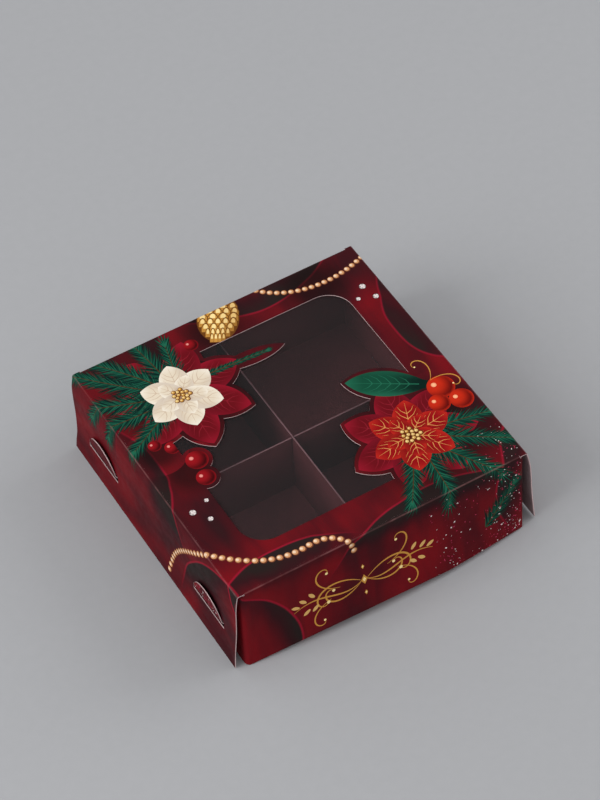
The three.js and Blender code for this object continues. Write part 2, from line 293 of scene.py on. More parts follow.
def petal(x, y, turn, length, width, colours, veins=5, vein_width=0.28):
    """One petal, darker at its root and paler at its edge, with a midrib and side veins."""
    body, edge, shade, vein = colours
    c, s = heading(turn)

    def tone(u, v):
        along = ((u - x) * c + (v - y) * s) / length
        across = ((v - y) * c - (u - x) * s) / (width / 2)
        colour = mixed(shade, body, smooth(0.05, 0.5, along))
        rim = smooth(0.45, 1, abs(across)) + smooth(0.75, 1, along)
        colour = mixed(colour, edge, 0.75 * rim)
        return mixed(colour, shade, 0.35 * smooth(-0.1, -0.9, across) * smooth(0, 0.25, abs(across)))

    ink([turned(petal_outline(length, width), x, y, turn)], tone)
    for i in range(1, 8):
        for j in (-0.6, -0.3, 0.3, 0.6):
            local = (length * i / 8, j * width / 2 * sin(pi * (0.1 + 0.85 * i / 8)))
            samples.extend(turned([local], x, y, turn))
    rib = [(length * (0.04 + 0.88 * i / 6), 0) for i in range(7)]
    ink(ribbon(turned(rib, x, y, turn), [vein_width * (1.5 - 1.3 * i / 6) for i in range(7)]), vein)
    for i in range(veins):
        root = length * (0.16 + 0.6 * i / veins)
        reach = width * 0.36 * sin(pi * (0.28 + 0.6 * i / veins))
        for sign in (-1, 1):
            side = [(root, 0), (root + reach * 0.5, sign * reach * 0.62), (root + reach * 1.2, sign * reach)]
            ink(ribbon(turned(side, x, y, turn), [vein_width, vein_width * 0.7, vein_width * 0.2]), vein)


def fir_needle(x, y, a, reach, width):
    """A thin triangle from a root at (x, y) along the direction a."""
    across = (width / 2 * sin(a), width / 2 * cos(a))
    tip = (x + reach * cos(a), y + reach * sin(a))
    return [(x + across[0], y - across[1]), tip, (x - across[0], y + across[1])]


def sprig(x, y, turn, length, needle, rng, curve=0.0, density=1.1):
    """A fir sprig: a curved stem with three layers of needles, the palest on top."""
    def stem(t):
        a = radians(turn) + curve * t / 2
        return x + length * t * cos(a), y + length * t * sin(a), a + curve * t / 2

    spine = [stem(i / 8)[:2] for i in range(9)]
    layers = ((FIR_DARK, 1.05, 1.1, 1.0), (FIR_MID, 1.0, 0.7, 1.0), (FIR_LIGHT, 0.9, 0.4, 0.7))
    for colour, share, width, crowd in layers:
        count = int(length * density * crowd)
        for i in range(count):
            t = (i + rng.random()) / count
            for sign in (-1, 1):
                px, py, ahead = stem(t)
                a = ahead + sign * radians(rng.uniform(32, 58) * (1 - 0.35 * t))
                reach = needle * share * rng.uniform(0.75, 1.08) * (1 - 0.3 * t)
                tone = mixed(colour, FIR_DARK, 0.45 * rng.random())
                ink([fir_needle(px, py, a, reach, width)], tone)
        px, py, ahead = stem(0.97)
        for lean in (-0.5, 0.5, -0.22, 0.22, 0):
            reach = needle * share * (1.05 - 0.6 * abs(lean))
            ink([fir_needle(px, py, ahead + lean, reach, width)], colour)
    ink(ribbon(spine, [0.55 - 0.4 * i / 8 for i in range(9)]), mixed(FIR_DARK, GOLD_DARK, 0.5))


def ball(x, y, r, body, dark, light, steps=28):
    """A round glossy thing, lit from the upper left, with a bright spot and a soft lower rim."""
    lit = (x - 0.35 * r, y + 0.38 * r)

    def tone(u, v):
        far = hypot(u - lit[0], v - lit[1]) / r
        colour = mixed(body, dark, smooth(0.35, 1.35, far))
        glow = smooth(0.8, 0.98, hypot(u - x, v - y) / r) * smooth(0.9, 1.4, far)
        return mixed(colour, body, 0.8 * glow)

    dot(x, y, r, steps, tone)
    for share in (0.3, 0.55, 0.75, 0.9):
        samples.extend(disc(x, y, r * share, 18))
    dot(*lit, r * 0.2, 10, mixed(body, light, 0.75))
    dot(*lit, r * 0.11, 8, light)


def shadow(x, y, r, strength=0.8):
    """A soft dark patch on the ground below a motif."""
    def tone(u, v):
        far = hypot(u - x, v - y) / r
        return (*SHADOW, strength * (1 - smooth(0.35, 1, far)))

    dot(x, y, r, 40, tone)
    for share in (0.35, 0.5, 0.65, 0.8, 0.9):
        samples.extend(disc(x, y, r * share, 30))


def bead(x, y, r):
    dot(x, y, r, 14, BEAD_RIM)
    dot(x - 0.08 * r, y + 0.1 * r, r * 0.8, 12, BEAD)
    dot(x - 0.22 * r, y + 0.25 * r, r * 0.48, 10, mixed(BEAD, BEAD_LIGHT, 0.55))
    dot(x - 0.3 * r, y + 0.34 * r, r * 0.2, 8, BEAD_LIGHT)


def even_points(path, spacing):
    """Points at an even spacing along a path."""
    found, left = [path[0]], spacing
    for a, b in zip(path, path[1:]):
        span = dist(a, b)
        at = left
        while at <= span:
            found.append((a[0] + (b[0] - a[0]) * at / span, a[1] + (b[1] - a[1]) * at / span))
            at += spacing
        left = at - span
    return found


def bead_string(path, r):
    for x, y in even_points(path, 2.12 * r):
        bead(x, y, r)


# Outline of one scale of a cone
SCALE = ((-0.5, -1), (0.3, -1), (0.85, -0.5), (1, 0), (0.85, 0.5), (0.3, 1), (-0.5, 1))


def cone(x, y, turn, length, width):
    """A gilded fir cone: rows of overlapping scales from its foot to its tip."""
    rows = 9
    turns = [2 * pi * i / 28 for i in range(28)]
    oval = [(length * 0.5 * (1 + cos(a)), width / 2 * sin(a)) for a in turns]
    ink([turned(oval, x, y, turn)], GOLD_DARK)
    for row in range(rows):
        t = 1 - (row + 0.5) / rows
        half = width / 2 * sin(pi * (0.12 + 0.8 * (1 - t) ** 0.9))
        across = 5 if row % 2 else 4
        for i in range(across):
            offset = half * (2 * (i + 0.5) / across - 1) * 0.98
            size = length / rows * 1.2
            reach = half / across
            lit = 0.5 + 0.5 * sin(2.2 * offset / half + 0.9)
            tone = mixed(GOLD_DARK, GOLD, 0.4 + 0.6 * lit)
            gleam = mixed(GOLD, GOLD_LIGHT, 0.35 + 0.65 * lit)
            for share, rise, colour in ((1.08, 0, GOLD_DARK), (0.9, 0.02, tone), (0.5, 0.38, gleam)):
                middle = length * t + size * rise
                points = [(middle + px * size * share, offset + py * reach * share) for px, py in SCALE]
                ink([turned(points, x, y, turn)], colour)


def spiral(x, y, turn, size, turns, mirror=1, steps=40):
    """A scroll that winds inwards from (x, y), first along the given direction."""
    points, a, px, py = [], radians(turn), x, y
    step = size * 4.2 / steps
    for i in range(steps):
        points.append((px, py))
        t = i / (steps - 1)
        a += mirror * turns * 2 * pi / steps * (0.25 + 1.5 * t * t)
        px += step * cos(a) * (1 - 0.55 * t)
        py += step * sin(a) * (1 - 0.55 * t)
    return points


def gold_scroll(x, y, turn, size, turns, mirror=1, width=0.5):
    points = spiral(x, y, turn, size, turns, mirror)
    ink(ribbon(points, tapered(len(points), width)), GOLD)
    dot(*points[-1], width * 0.75, 10, GOLD_LIGHT)


def rhinestone(x, y, r):
    dot(x, y, r * 1.12, 16, BRACT_SHADE)
    ring, table = disc(x, y, r, 8), disc(x, y, r * 0.5, 8)
    facets = (0.95, 0.35, 0.8, 0.1, 0.6, 0.25, 0.9, 0.5)
    for i, t in enumerate(facets):
        j = (i + 1) % 8
        ink([[ring[i], ring[j], table[j], table[i]]], mixed(STONE_GREY, SPARKLE, t))
    ink([table], mixed(STONE_GREY, SPARKLE, 0.7))
    dot(x - 0.15 * r, y + 0.2 * r, r * 0.2, 6, SPARKLE)


def glitter(rng, count, spot):
    """Specks of glitter; spot gives a random place and its share of the largest size."""
    for _ in range(count):
        x, y, share = spot(rng)
        size = share * rng.uniform(0.14, 0.42)
        kind = rng.random()
        colour = SPARKLE if kind < 0.35 else PINK if kind < 0.75 else mixed(BRACT_EDGE, PINK, 0.4)
        speck = [(-size, 0), (0, -size * 0.6), (size, 0), (0, size * 0.6)]
        ink([turned(speck, x, y, rng.uniform(0, 180))], colour)


# The print, from the back layer to the front one
rng = random.Random(PRINT_SEED)
OUTER = (BRACT, BRACT_EDGE, BRACT_SHADE, BRACT_VEIN)
WHITE_PETAL = tones((226, 212, 190), (242, 234, 220), (160, 128, 106), (202, 178, 154))
RED_PETAL = tones((146, 15, 20), (190, 42, 30), (66, 5, 10), (214, 150, 84))
GREEN_LEAF = (LEAF_GREEN, LEAF_EDGE, LEAF_SHADE, LEAF_EDGE)
STAMENS = 15
STAMEN_TURN = 2.4  # radians from one stamen to the next

# Places of the motifs: x, y and radius, or for a sprig its turn, length and the length of its needles
SHADOWS = (
    (-27, 24, 33), (28, -29, 32), (42, -20, 13), (-4, 46, 15), (-40, -2, 12), (-45, 10, 10), (33, 44, 15),
)
BACK_SPRIGS = (
    (205, 27, 8), (182, 31, 8.5), (160, 34, 9), (138, 38, 9), (118, 33, 8.5), (95, 27, 8), (72, 22, 7),
)
FRONT_SPRIGS = ((-118, 27, 7.5), (-92, 30, 8), (-62, 34, 8.5), (-34, 33, 8), (-8, 27, 7.5))
ORANGE_BERRIES = ((44.5, -15, 4.6), (47.5, -22.5, 4), (40.5, -20.5, 3.6))
SMALL_BERRIES = ((-40, 9, 2.6), (-44.5, 12.5, 2.2), (-14, 43, 2.4))
RHINESTONES = (
    (46, 35, 1.1), (42, 31, 0.8), (47.5, 29, 1.0), (-44, -22, 0.9), (-47.5, -17, 1.1), (-41.5, -15, 0.75),
)


def flower_ring(flower, length, width, start, petals, colours, **options):
    for i in range(petals):
        petal(flower["x"], flower["y"], start + 360 * i / petals, length, width, colours, **options)


def flower_heart(flower, r, rng):
    for i in range(STAMENS):
        a, far = i * STAMEN_TURN, r * sqrt((i + 0.5) / STAMENS)
        x, y = flower["x"] + far * cos(a), flower["y"] + far * sin(a)
        dot(x, y, 0.85, 10, GOLD_DARK)
        dot(x - 0.1, y + 0.12, 0.6, 8, mixed(GOLD, GOLD_LIGHT, 0.5 * rng.random()))
        dot(x - 0.2, y + 0.24, 0.24, 6, GOLD_LIGHT)


for x, y, r in SHADOWS:
    shadow(x, y, r)
for flower in (BACK_FLOWER, FRONT_FLOWER):
    length, width = flower["length"] - INSET, flower["width"] - 2 * INSET
    flower_ring(flower, length, width, flower["start"], flower["petals"], OUTER)

petal(LEAF["x"], LEAF["y"], LEAF["turn"], LEAF["length"] - INSET, LEAF["width"] - 2 * INSET, GREEN_LEAF)
leaf_foot = turned([(0.3, 0), (-1.8, 0), (-3.6, 0), (-5.2, 0)], LEAF["x"], LEAF["y"], LEAF["turn"])
ink(ribbon(leaf_foot, (4.2, 3.1, 1.7, 0.8)), LEAF_SHADE)
sprig(SPRIG["x"] - 6, SPRIG["y"] + 0.5, SPRIG["turn"], 24, 2.6, rng, density=1.4)
cone(-6, 39.5, 60, 20, 14)
for flower, sprigs in ((BACK_FLOWER, BACK_SPRIGS), (FRONT_FLOWER, FRONT_SPRIGS)):
    for turn, length, needle in sprigs:
        sprig(flower["x"], flower["y"], turn, length, needle, rng, rng.uniform(-0.25, 0.25))
sprig(36, -76, 42, 17, 7, rng, 0.2)

for x, y, r in ORANGE_BERRIES:
    ball(x, y, r, *ORANGE_BERRY)
for turn, mirror in ((48, 1), (12, -1)):
    gold_scroll(43, -11, turn, 5, 1.1, mirror, 0.4)
flower_ring(FRONT_FLOWER, 14.5, 9.6, 8, 6, RED_PETAL, veins=4)
flower_ring(FRONT_FLOWER, 9, 6.6, 38, 5, RED_PETAL, veins=3)
flower_heart(FRONT_FLOWER, 3.2, rng)
flower_ring(BACK_FLOWER, 13.5, 9.4, 22, 6, WHITE_PETAL, veins=4)
flower_ring(BACK_FLOWER, 8.6, 6.2, 52, 5, WHITE_PETAL, veins=3)
flower_heart(BACK_FLOWER, 3, rng)

for x, y, r in BERRIES:
    ball(x, y, r - INSET, *RED_BERRY)
for x, y, r in SMALL_BERRIES:
    ball(x, y, r, *RED_BERRY, 20)

front_beads = bezier((-84, -10), (-58, -12), (-52, -50), (-24, -47), 40)
bead_string(front_beads + bezier((-24, -47), (-16, -46), (-12, -51), (-11, -58), 20)[1:], 1.2)
bead_string(bezier((12, 58), (20, 40), (44, 40), (60, 50), 40), 1.1)
for x, y, r in RHINESTONES:
    rhinestone(x, y, r)


def corner_spot(rng):
    x = 50 - 34 * rng.random() ** 1.6
    y = -85 + 31 * rng.random() ** 1.5
    return x, y, 0.6 + 0.55 * rng.random()


def top_corner_spot(rng):
    return 51 - 14 * rng.random() ** 1.6, -51 + 14 * rng.random() ** 1.6, 0.75


def tongue_spot(rng):
    return -69 + rng.uniform(-8, 8), -SIDES["front"].at(BOX_H - TONGUE_BASE_Z - rng.uniform(0, 9)), 1


glitter(rng, 300, corner_spot)
glitter(rng, 45, top_corner_spot)
glitter(rng, 60, tongue_spot)

# A gold scroll ornament on the front wall, the same on both sides of its middle
SCROLL_X = -9
SCROLL_Y = -71
CURLS = (
    (spiral(1.2, 0.3, 40, 8.2, 1.1, -1), 0.7),
    (spiral(1.2, -0.3, -42, 6.6, 1.1, 1), 0.62),
    (spiral(8.5, 1.6, 12, 6.4, 1.15, 1), 0.56),
    (spiral(12, -1.5, -14, 5.4, 1.1, -1), 0.5),
)
TAIL = (bezier((1, 0), (9, -5), (15, 4.5), (25, -0.8), 24), 0.64)
LEAFLETS = ((17.5, 2.4, 50), (20.5, 1.6, 40), (16.5, -1.4, -40), (19.5, -1.8, -34), (23, 0.6, 24))


def scroll_side(points, mirror):
    return [(SCROLL_X + mirror * x, SCROLL_Y + y) for x, y in points]


for mirror in (-1, 1):
    for points, width in (*CURLS, TAIL):
        ink(ribbon(scroll_side(points, mirror), tapered(len(points), width)), GOLD)
    for points, width in CURLS:
        dot(*scroll_side(points[-1:], mirror)[0], width * 0.9, 10, GOLD_LIGHT)
    for x, y, turn in LEAFLETS:
        leaflet = turned(petal_outline(3, 1.3, 6), x, y, turn)
        ink([scroll_side(leaflet, mirror)[::mirror]], mixed(GOLD, GOLD_LIGHT, 0.3))
for y in (0, 5.4, -5.4):
    size = 1 if y == 0 else 0.5
    for share, colour in ((1, GOLD), (0.5, GOLD_LIGHT)):
        k = size * share
        ink([[(SCROLL_X - 1.2 * k, SCROLL_Y + y), (SCROLL_X, SCROLL_Y + y - 2 * k),
              (SCROLL_X + 1.2 * k, SCROLL_Y + y), (SCROLL_X, SCROLL_Y + y + 2 * k)]], colour)


# The sheet: zones, holes, printed shapes and fold lines, cut into triangles that share their edges
zones = {}  # the tongues come last, because they stand in holes of the ears
holes = []
standing = []  # die-cut shapes that reach into the window
lines = []  # folds, as pairs of points


def around(side, along0, along1, q0, q1):
    """A rectangle of a side in the sheet."""
    sign = sum(side.out)
    low, high = sorted((sign * q0, sign * q1))
    if side.out[0]:
        return rectangle(low, along0, high, along1)
    return rectangle(along0, low, along1, high)


def fold_line(side, q, along0, along1):
    a, _, b, _ = around(side, along0, along1, q, q)
    lines.append((a, b))


left, right, front, back = SIDES.values()
zones["lid_top"] = [
    (-left.start, -HALF), (-FLAT_HALF, -HALF), (-FLAT_HALF, -front.start), (FLAT_HALF, -front.start),
    (FLAT_HALF, -HALF), (right.start, -HALF), (right.start, HALF), (FLAT_HALF, HALF), (FLAT_HALF, back.start),
    (-FLAT_HALF, back.start), (-FLAT_HALF, HALF), (-left.start, HALF),
]
for side in SIDES.values():
    reach = HALF if side.out[0] else FLAT_HALF
    zones[f"{side.name}_crease"] = around(side, -reach, reach, side.start, side.end)
    for i in range(1, CREASE_STEPS):
        fold_line(side, side.start + (side.end - side.start) * i / CREASE_STEPS, -reach, reach)

for side in (left, right):
    zones[f"{side.name}_wall"] = around(side, -HALF, HALF, side.end, side.rim)
    for i in range(1, WALL_STEPS):
        q = side.end + (side.rim - side.end) * i / WALL_STEPS
        stops = [HALF * (2 * j / WALL_COLUMNS - 1) for j in range(WALL_COLUMNS + 1)]
        for start, stop in zip(stops, stops[1:]):
            fold_line(side, q, start, stop)
    rise = tongue_step(FLARE[side.name])[1]
    low = side.at(BOX_H - TONGUE_BASE_Z + FIT)
    high = side.at(BOX_H - TONGUE_BASE_Z - rise - 2 * BOARD - FIT)
    long = TONGUE_LENGTH / 2 + SLIT_PLAY
    for middle in (-TONGUE_Y, TONGUE_Y):
        outline = [(-long, low), (long, low)]
        outline += arc(long - SLIT_CORNER_R, high + SLIT_CORNER_R, SLIT_CORNER_R, 0, -90, 6)
        outline += arc(-long + SLIT_CORNER_R, high + SLIT_CORNER_R, SLIT_CORNER_R, -90, -180, 6)
        holes.append([(side.out[0] * q, middle + a) for a, q in outline])

EAR_END = FLAT_HALF + BEND_ARC + EAR_LENGTH - BEND_R
TONGUE_A = FLAT_HALF + BEND_ARC + HALF - BEND_R - TONGUE_Y
tongues = {}
for side in (front, back):
    sign = side.out[1]
    cut, high, low = EAR_END - EAR_CUT, side.end + EAR_CUT, side.rim - EAR_CUT
    outline = [(-cut, side.end), (cut, side.end), (EAR_END, high), (EAR_END, low),
               (cut, side.rim), (-cut, side.rim), (-EAR_END, low), (-EAR_END, high)]
    zones[f"{side.name}_wall"] = [(a, sign * q) for a, q in outline]
    for i in range(BEND_STEPS + 1):
        for end in (-1, 1):
            a = end * (FLAT_HALF + BEND_ARC * i / BEND_STEPS)
            lines.append(((a, sign * side.end), (a, sign * side.rim)))
    for end, neighbour in ((-1, "left"), (1, "right")):
        base = side.at(BOX_H - TONGUE_BASE_Z)
        wide = half_moon(TONGUE_LENGTH + 2 * FIT, TONGUE_H + FIT)
        holes.append([(end * TONGUE_A + a, sign * (base + FIT - h)) for a, h in wide])
        name = f"{side.name}_{neighbour}_tongue"
        narrow = half_moon(TONGUE_LENGTH, TONGUE_H)
        tongues[name] = [(end * TONGUE_A + a, sign * (base - h)) for a, h in narrow]
        for i in range(1, TONGUE_STEPS):
            h = TONGUE_H * i / TONGUE_STEPS
            half = TONGUE_LENGTH / 2 * sqrt(1 - (h / TONGUE_H) ** 2)
            q = sign * (base - h)
            lines.append(((end * TONGUE_A - half, q), (end * TONGUE_A + half, q)))
zones.update(tongues)


def blade_outline(blade, turn):
    """The die-cut outline of one petal or leaf."""
    return turned(petal_outline(blade["length"], blade["width"]), blade["x"], blade["y"], turn)


window = rounded_square(WINDOW_HALF, WINDOW_R)
for flower in (BACK_FLOWER, FRONT_FLOWER):
    standing.append(disc(flower["x"], flower["y"], FLOWER_CORE_R, 48))
    for i in range(flower["petals"]):
        standing.append(blade_outline(flower, flower["start"] + 360 * i / flower["petals"]))
for blade in (SPRIG, LEAF):
    standing.append(blade_outline(blade, blade["turn"]))
for x, y, r in BERRIES:
    standing.append(disc(x, y, r, 32))

grid = range(-SHEET_REACH, SHEET_REACH + 1, GRID_STEP)
grid_points = [(x + GRID_SHIFT[0], y + GRID_SHIFT[1]) for x in grid for y in grid]
inner_points = [Vector(p) for p in samples + grid_points]


def covers(polygon, x, y):
    """Which of the places lie inside a polygon."""
    hit = np.zeros(len(x), bool)
    for (ax, ay), (bx, by) in zip(polygon, polygon[1:] + polygon[:1]):
        if ay != by:
            hit ^= ((ay > y) != (by > y)) & (x < (bx - ax) * (y - ay) / (by - ay) + ax)
    return hit


def read_sheet(places, triangles):
    """For each triangle, the number of its zone, or -1 in a hole, and of its topmost printed shape, or -1."""
    middle = np.array(places)[np.array(triangles)].mean(1)
    order = np.argsort(middle[:, 0])
    sorted_x = middle[order, 0]

    def within(polygon):
        xs, ys = zip(*polygon)
        first, last = np.searchsorted(sorted_x, (min(xs), max(xs)))
        picked = order[first:last]
        y = middle[picked, 1]
        picked = picked[(y > min(ys)) & (y < max(ys))]
        return picked[covers(polygon, *middle[picked].T)]

    zone = np.full(len(middle), -1)
    layers = list(enumerate(zones.values()))
    cut_outs = [(-1, polygon) for polygon in holes]
    for n, polygon in layers[:-len(tongues)] + cut_outs + layers[-len(tongues):]:
        zone[within(polygon)] = n
    open_window = np.zeros(len(middle), bool)
    open_window[within(window)] = True
    for polygon in standing:
        open_window[within(polygon)] = False
    zone[open_window] = -1
    top = np.full(len(middle), -1)
    for n, (polygons, _) in enumerate(printed):
        for polygon in polygons:
            top[within(polygon)] = n
    return zone, top


def seams(triangles, zone, top):
    """Edges between triangles of different zones or printed shapes."""
    corners = np.array(triangles)
    ends = np.sort(corners[:, [0, 1, 1, 2, 2, 0]].reshape(-1, 2), axis=1)
    key = np.repeat(np.where(zone < 0, -1, zone * (len(printed) + 1) + top + 1), 3)
    order = np.lexsort((ends[:, 1], ends[:, 0]))
    ends, key = ends[order], key[order]
    same = (ends[1:] == ends[:-1]).all(1) & (key[1:] == key[:-1])
    paired = np.zeros(len(ends), bool)
    paired[1:] |= same
    paired[:-1] |= same
    return [tuple(int(i) for i in pair) for pair in np.unique(ends[~paired], axis=0)]


outlines = [*zones.values(), *holes, window, *standing]
outlines += [polygon for polygons, _ in printed for polygon in polygons]
points, edges = [], []
for polygon in outlines:
    first, size = len(points), len(polygon)
    edges.extend((first + i, first + (i + 1) % size) for i in range(size))
    points.extend(Vector(p) for p in polygon)
for a, b in lines:
    edges.append((len(points), len(points) + 1))
    points.extend((Vector(a), Vector(b)))
places, _, triangles, _, _, _ = delaunay_2d_cdt(points, edges, [], 0, MERGE, False)
kept = seams(triangles, *read_sheet(places, triangles))

# The second cut has only the edges that show
shown = sorted({i for pair in kept for i in pair})
count = len(shown)
number = {i: n for n, i in enumerate(shown)}
fold_points = [Vector(p) for pair in lines for p in pair]
cut_edges = [(number[i], number[j]) for i, j in kept]
cut_edges += [(count + 2 * i, count + 2 * i + 1) for i in range(len(lines))]
cut_points = [places[i] for i in shown] + fold_points + inner_points
sheet, _, triangles, _, _, _ = delaunay_2d_cdt(cut_points, cut_edges, [], 0, MERGE, False)
sheet_zone, sheet_top = read_sheet(sheet, triangles)
zone_triangles = {name: [] for name in zones}
zone_names = list(zones)
for triangle, zone, top in zip(triangles, sheet_zone, sheet_top):
    if zone >= 0:
        zone_triangles[zone_names[zone]].append((triangle, int(top)))


def new_object(name, data):
    """An object in the scene."""
    made = bpy.data.objects.new(name, data)
    bpy.context.scene.collection.objects.link(made)
    return made


# Materials
class Graph:
    """A short way to write the nodes of a material or of the world."""

    def __init__(self, owner):
        owner.use_nodes = True
        self.owner = owner
        self.nodes = owner.node_tree.nodes
        self.links = owner.node_tree.links
        self.shader = self.nodes.get("Principled BSDF")

    def fill(self, node, values):
        """Gives each named or numbered input of a node a link or a value."""
        for socket, value in values.items():
            if isinstance(value, bpy.types.NodeSocket):
                self.links.new(value, node.inputs[socket])
            else:
                node.inputs[socket].default_value = value

    def make(self, kind, values, **settings):
        node = self.nodes.new(f"ShaderNode{kind}")
        for setting, value in settings.items():
            setattr(node, setting, value)
        self.fill(node, values)
        return node

    def math(self, operation, a, b=0.0):
        return self.make("Math", {0: a, 1: b}, operation=operation).outputs[0]

    def product(self, first, *others):
        for factor in others:
            first = self.math("MULTIPLY", first, factor)
        return first

    def vector(self, operation, a, b=(0, 0, 0)):
        node = self.make("VectorMath", {0: a, 1: b}, operation=operation)
        return node.outputs["Value" if operation in ("LENGTH", "DOT_PRODUCT") else "Vector"]

    def ramp(self, value, low, high, to_low=0.0, to_high=1.0):
        values = {"Value": value, "From Min": low, "From Max": high, "To Min": to_low, "To Max": to_high}
        return self.make("MapRange", values, interpolation_type="SMOOTHSTEP").outputs["Result"]

    def noise(self, place, scale, detail=2.0, distortion=0.0):
        values = {"Vector": place, "Scale": scale, "Detail": detail, "Distortion": distortion}
        return self.make("TexNoise", values).outputs["Fac"]

    def mix(self, factor, a, b):
        a, b = (c if isinstance(c, bpy.types.NodeSocket) else (*c, 1) for c in (a, b))
        return self.make("Mix", {0: factor, 6: a, 7: b}, data_type="RGBA").outputs[2]

    def colours(self, value, stops):
        node = self.make("ValToRGB", {"Fac": value})
        band = node.color_ramp.elements
        for element, (at, colour) in zip(band, (stops[0], stops[-1])):
            element.position = at
            element.color = (*colour, 1)
        for at, colour in stops[1:-1]:
            band.new(at).color = (*colour, 1)
        return node.outputs["Color"]

    def object_place(self):
        return self.make("TexCoord", {}).outputs["Object"]

    def bump(self, height, distance, strength):
        values = {"Strength": strength, "Distance": distance, "Height": height}
        return self.make("Bump", values).outputs["Normal"]

    def finish(self, colour, roughness, specular, **more):
        values = {"Base Color": colour, "Roughness": roughness, "Specular IOR Level": specular, **more}
        self.fill(self.shader, values)
        return self.owner


def new_material(name):
    return Graph(bpy.data.materials.new(name))


# Velvet folds in the printed ground: circles in the sheet, each bright on the rim that faces a direction
# x, y, radius, width of the shade inside, facing in degrees, strength
VELVET_FOLDS = (
    (-76, 8, 30, 17, -12, 0.75),
    (-34, -84, 41, 15, 112, 0.95),
    (16, -95, 48, 14, 82, 0.9),
    (14, 88, 44, 15, -88, 0.7),
    (80, 14, 35, 15, 186, 0.65),
    (-66, -84, 33, 16, 22, 0.9),
    (80, -66, 38, 18, 152, 0.85),
    (-86, -52, 34, 15, 30, 0.8),
    (-60, 62, 40, 16, -40, 0.5),
)
GROUND_STOPS = (
    (0.0, srgb(40, 30, 29)),
    (0.28, srgb(52, 20, 25)),
    (0.58, srgb(81, 16, 24)),
    (1.0, srgb(119, 16, 25)),
)
FRONT_LEVEL = 0.24  # how much brighter the ground is printed on the front wall
FOLD_WAVE = 0.08  # how wavy the rims of the folds are
FOLD_SHADE = 0.62  # how much darker the ground is inside a fold
FOLD_GLOW = 0.3  # how much brighter it is outside
FOLD_SHINE = 0.8  # how strong the line along the rim is
CRIMSON = srgb(168, 20, 48)
# Pale line along the middle of a creased fold: partly real wear of the laminate, partly painted highlight
# where the fold's rounded edge catches the light
WORN_AND_HIGHLIGHT = srgb(152, 104, 104)
CREASE_LINE_Q = 52.34  # the middle of a creased fold in the sheet
CREASE_LINE_HALF = 0.42


def printed_card(name, worn_and_highlit):
    """Matt laminated print: velvet ground in the shader, printed shapes from the mesh's colours."""
    g = new_material(name)
    place = g.make("UVMap", {}, uv_map="Sheet").outputs["UV"]
    broad = g.noise(place, 2.6, 1.5, 0.8)
    streak = g.noise(g.vector("MULTIPLY", place, (9, 2.2, 1)), 1.6, 2.0, 0.5)
    level = g.math("ADD", g.ramp(broad, 0.3, 0.72, 0.3, 0.86), g.ramp(streak, 0.3, 0.7, -0.1, 0.1))
    height = g.make("SeparateXYZ", {"Vector": place}).outputs["Y"]
    level = g.math("ADD", level, g.ramp(height, -0.6, -0.5, FRONT_LEVEL, 0.0))
    wavy = g.product(g.math("SUBTRACT", broad, 0.5), FOLD_WAVE)
    shine = 0.0
    for x, y, radius, width, facing, strength in VELVET_FOLDS:
        radius, width = radius * SHEET_SCALE, width * SHEET_SCALE
        away = g.vector("SUBTRACT", place, (x * SHEET_SCALE, y * SHEET_SCALE, 0))
        far = g.math("ADD", g.math("SUBTRACT", g.vector("LENGTH", away), radius), wavy)
        toward = g.vector("DOT_PRODUCT", away, (*heading(facing), 0))
        sector = g.ramp(toward, 0.45 * radius, 0.95 * radius)
        inside = g.product(g.ramp(far, -width, -0.004), g.math("LESS_THAN", far, 0.0))
        level = g.math("SUBTRACT", level, g.product(inside, sector, strength, FOLD_SHADE))
        outside = g.product(g.ramp(far, 0.0, 0.14, 1.0, 0.0), g.math("GREATER_THAN", far, 0.0))
        level = g.math("ADD", level, g.product(outside, sector, strength * FOLD_GLOW))
        edge = g.ramp(g.math("ABSOLUTE", far), 0.0, 0.006, 1.0, 0.0)
        shine = g.math("ADD", shine, g.product(edge, sector, strength * FOLD_SHINE))
    ground = g.mix(g.math("MINIMUM", shine, 0.85), g.colours(level, GROUND_STOPS), CRIMSON)
    pile = g.noise(place, 240)
    ground = g.mix(g.ramp(pile, 0.35, 0.75, 0.0, 0.2), ground, GROUND_STOPS[0][1])
    paint = g.make("VertexColor", {}, layer_name="Ink")
    colour = g.mix(paint.outputs["Alpha"], ground, paint.outputs["Color"])
    # The pale fold line: wear with painted highlight, broken up by noise
    if worn_and_highlit:
        parts = g.make("SeparateXYZ", {"Vector": g.vector("ABSOLUTE", place)})
        q = g.math("MAXIMUM", parts.outputs["X"], parts.outputs["Y"])
        off = g.math("ABSOLUTE", g.math("SUBTRACT", q, CREASE_LINE_Q * SHEET_SCALE))
        line = g.ramp(off, 0.0, CREASE_LINE_HALF * SHEET_SCALE, 1.0, 0.0)
        rub_and_gleam = g.ramp(g.noise(place, 24, 3.0), 0.36, 0.7, 0.12, 0.4)
        colour = g.mix(g.product(line, rub_and_gleam), colour, WORN_AND_HIGHLIGHT)
    roughness = g.ramp(g.noise(place, 30, 3.0), 0.3, 0.7, 0.45, 0.55)
    return g.finish(colour, roughness, 0.04, Normal=g.bump(g.noise(place, 420), 0.00002, 0.25))


def plain_board(name, pale, dark, fibre):
    """Uncoated board: fine fibres, small specks and a soft mottle."""
    g = new_material(name)
    place = g.object_place()
    mottle = g.noise(place, 180, 3.0)
    fibres = g.noise(g.vector("MULTIPLY", place, (1, 5, 1)), fibre, 4.0, 1.2)
    both = g.math("ADD", g.product(mottle, 0.5), g.product(fibres, 0.5))
    colour = g.mix(g.ramp(both, 0.35, 0.65), dark, pale)
    roughness = g.ramp(mottle, 0.3, 0.7, 0.78, 0.92)
    return g.finish(colour, roughness, 0.2, Normal=g.bump(fibres, 0.00003, 0.4))


